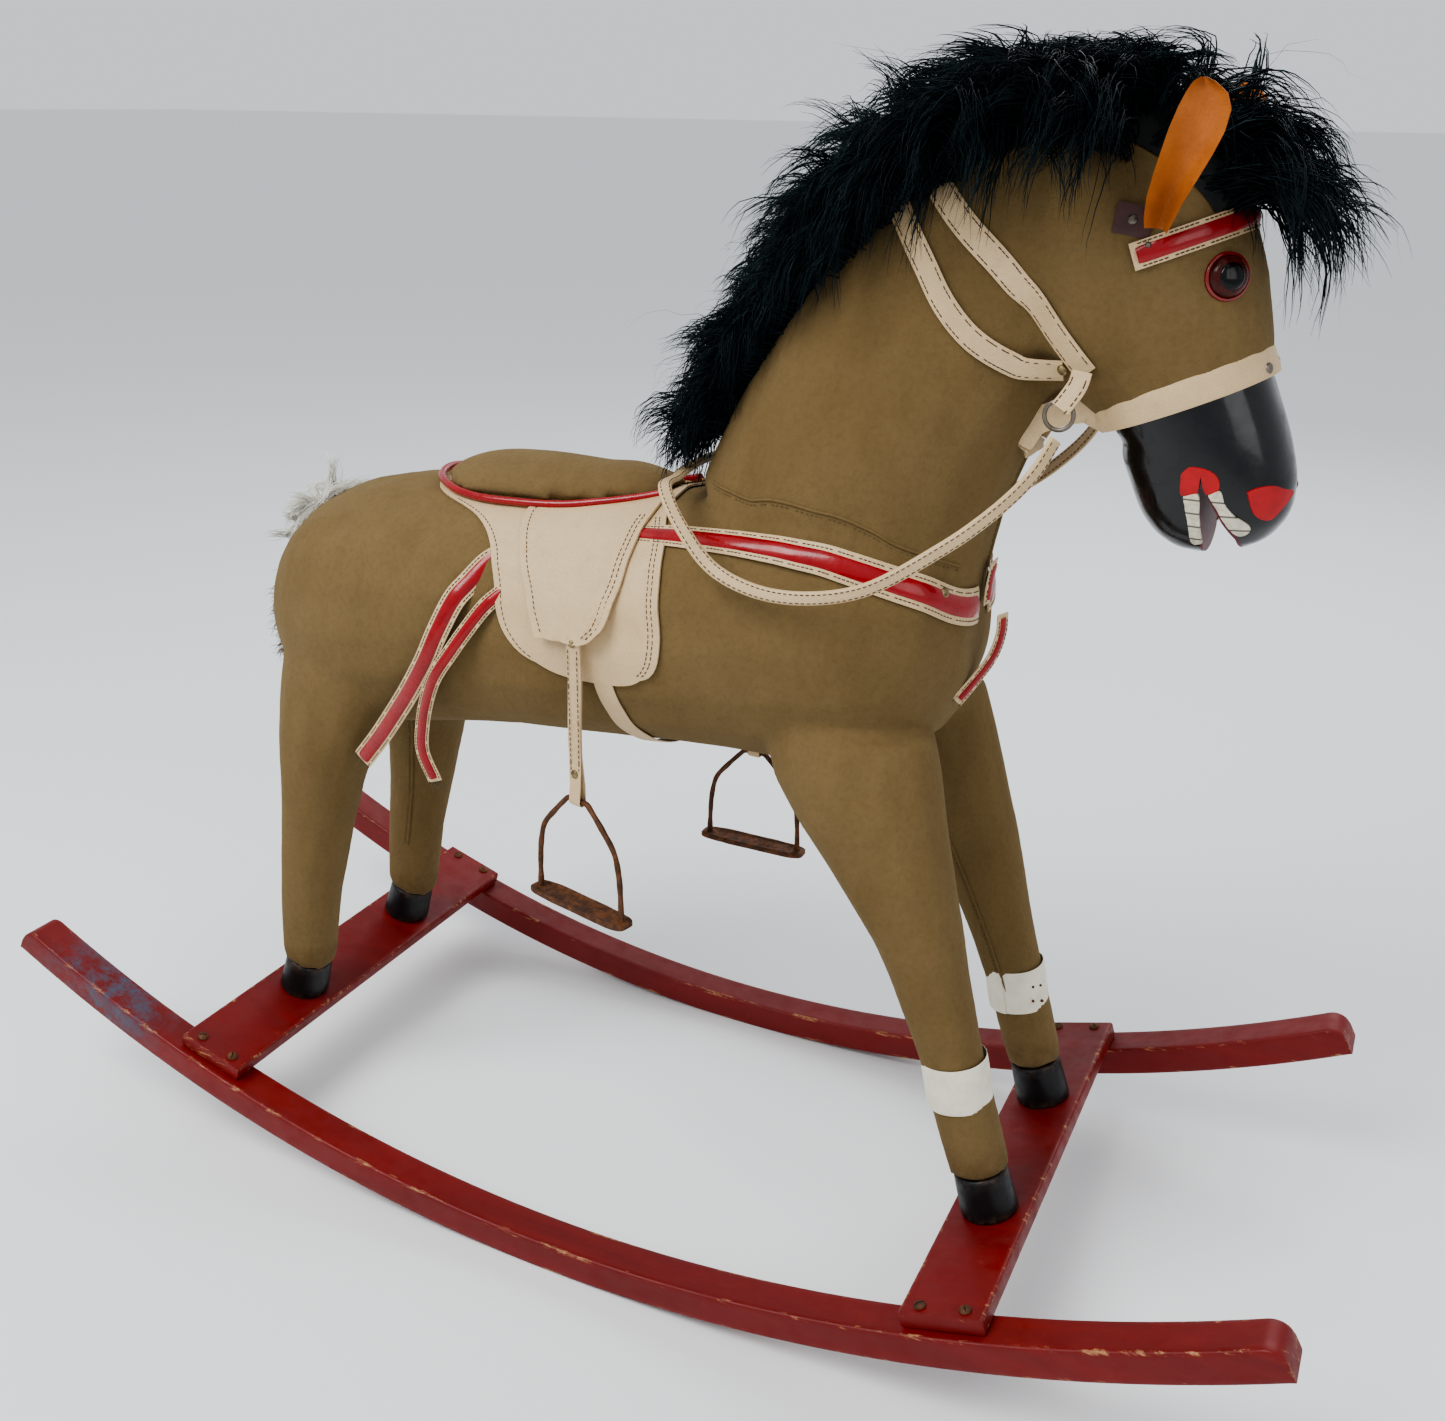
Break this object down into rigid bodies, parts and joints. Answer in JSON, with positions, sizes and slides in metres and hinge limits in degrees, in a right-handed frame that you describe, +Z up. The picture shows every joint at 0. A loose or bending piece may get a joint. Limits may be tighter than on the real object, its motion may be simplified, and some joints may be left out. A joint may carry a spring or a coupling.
{
  "type": "rocking horse",
  "caption": "Stuffed plush toy horse standing on two curved wooden rockers, with saddle, stirrups and reins, for a small child to ride.",
  "frame": {"origin": "on the floor under the middle of the rockers, halfway between them", "axes": "+X the way the horse faces, +Y the horse's left, +Z up"},
  "size_m": [1.1006, 0.41, 0.8999],
  "materials": {
    "red_wood": "worn satin red paint",
    "bare_wood": "unfinished",
    "steel": "tarnished",
    "rusty_iron": "rusty",
    "black_paint": "satin black paint",
    "black_vinyl": "glossy vinyl-coated cloth",
    "plush": "short worn pile",
    "straw": "packed straw",
    "vinyl": "aged satin",
    "red_vinyl": "glossy",
    "leather": "satin",
    "eye_glass": "polished",
    "black_fur": "long fur",
    "white_hair": "frayed"
  },
  "bodies": {
    "horse": {"rocker_right": "red_wood", "rocker_left": "red_wood", "front_board": "red_wood", "rear_board": "red_wood", "screw_front_right_back": "steel", "screw_front_right_fore": "steel", "screw_front_left_back": "steel", "screw_front_left_fore": "steel", "screw_rear_right_back": "steel", "screw_rear_right_fore": "steel", "screw_rear_left_back": "steel", "screw_rear_left_fore": "steel", "leg_post_front_right": "bare_wood", "leg_post_front_left": "bare_wood", "leg_post_rear_right": "bare_wood", "leg_post_rear_left": "bare_wood", "wooden_frame": "bare_wood", "hoof_front_right": "black_paint", "hoof_front_left": "black_paint", "hoof_rear_right": "black_paint", "hoof_rear_left": "black_paint", "leg_sleeve_front_right": "plush", "leg_sleeve_front_left": "plush", "leg_sleeve_rear_right": "plush", "leg_sleeve_rear_left": "plush", "leg_band_right": "vinyl", "leg_band_left": "vinyl", "torso_cover": "plush", "torso_stuffing": "straw", "neck_and_head_cover": "plush", "neck_and_head_stuffing": "straw", "muzzle": "black_vinyl", "saddle_skirt": "vinyl", "knee_flap_right": "vinyl", "knee_flap_left": "vinyl", "seat_pad": "plush", "seat_piping": "red_vinyl", "girth": "vinyl", "bit_ring_right": "steel", "bit_ring_left": "steel", "eye_right": "eye_glass", "eye_left": "eye_glass", "ear_right": "leather", "ear_left": "leather", "throat_strap": "vinyl", "headstall": "vinyl", "browband": "red_vinyl", "noseband": "vinyl", "breast_band_right": "red_vinyl", "breast_band_left": "red_vinyl", "chest_strap": "red_vinyl", "flank_strap_outer": "red_vinyl", "flank_strap_inner": "red_vinyl", "mane": "black_fur", "tail_tuft": "white_hair", "reins": "vinyl"},
    "leather_right": {"stirrup_leather_right": "vinyl"},
    "leather_left": {"stirrup_leather_left": "vinyl"},
    "iron_right": {"stirrup_iron_right": "rusty_iron"},
    "iron_left": {"stirrup_iron_left": "rusty_iron"}
  },
  "joints": [
    {"name": "leather_right_swing", "type": "hinge", "parent": "horse", "child": "leather_right", "pos_m": [-0.005, -0.12, 0.503], "axis": [0, -1, 0], "range_deg": [-25, 30]},
    {"name": "leather_left_swing", "type": "hinge", "parent": "horse", "child": "leather_left", "pos_m": [0.03, 0.12, 0.503], "axis": [0, -1, 0], "range_deg": [-45, 30]},
    {"name": "iron_right_swing", "type": "hinge", "parent": "leather_right", "child": "iron_right", "pos_m": [-0.005, -0.12, 0.374], "axis": [-0.9703, 0.2419, 0], "range_deg": [-45, 80]},
    {"name": "iron_left_swing", "type": "hinge", "parent": "leather_left", "child": "iron_left", "pos_m": [0.03, 0.12, 0.326], "axis": [1, 0, 0], "range_deg": [-45, 80]}
  ]
}
